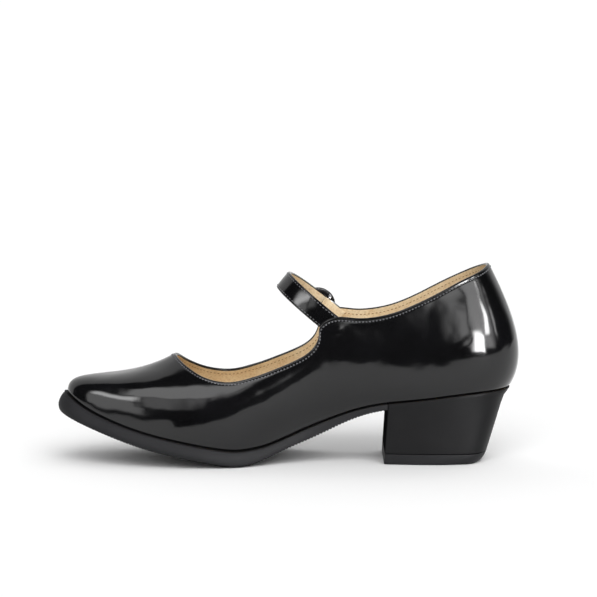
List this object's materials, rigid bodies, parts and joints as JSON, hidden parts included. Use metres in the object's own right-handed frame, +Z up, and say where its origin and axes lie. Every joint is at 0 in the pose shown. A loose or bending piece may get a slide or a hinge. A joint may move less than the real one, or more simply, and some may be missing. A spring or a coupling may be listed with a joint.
{
  "type": "folk dance shoe",
  "caption": "Low-cut black patent leather dance shoe for the right foot, with a block heel, tan lining and a buckled instep strap.",
  "frame": {"origin": "on the floor, under the middle of the shoe's bounding box", "axes": "+X from the toe to the heel, +Y towards the outer side of the foot, +Z up"},
  "size_m": [0.2524, 0.0784, 0.1081],
  "materials": {
    "patent_leather": "black patent leather, high gloss",
    "sole_rubber": "matt black rubber",
    "heel_lacquer": "satin black lacquer",
    "lift_rubber": "matt black rubber",
    "tan_lining": "smooth undyed tan lining leather",
    "black_enamel": "gloss black enamel on metal",
    "bright_metal": "bright plated wire"
  },
  "bodies": {
    "root": {"upper": "patent_leather", "outsole": "sole_rubber", "heel_block": "heel_lacquer", "top_piece": "lift_rubber", "insole": "tan_lining", "strap": "patent_leather", "buckle_tab": "patent_leather", "buckle_frame": "black_enamel", "buckle_bar": "bright_metal", "buckle_prong": "bright_metal", "strap_keeper": "patent_leather"}
  },
  "joints": []
}
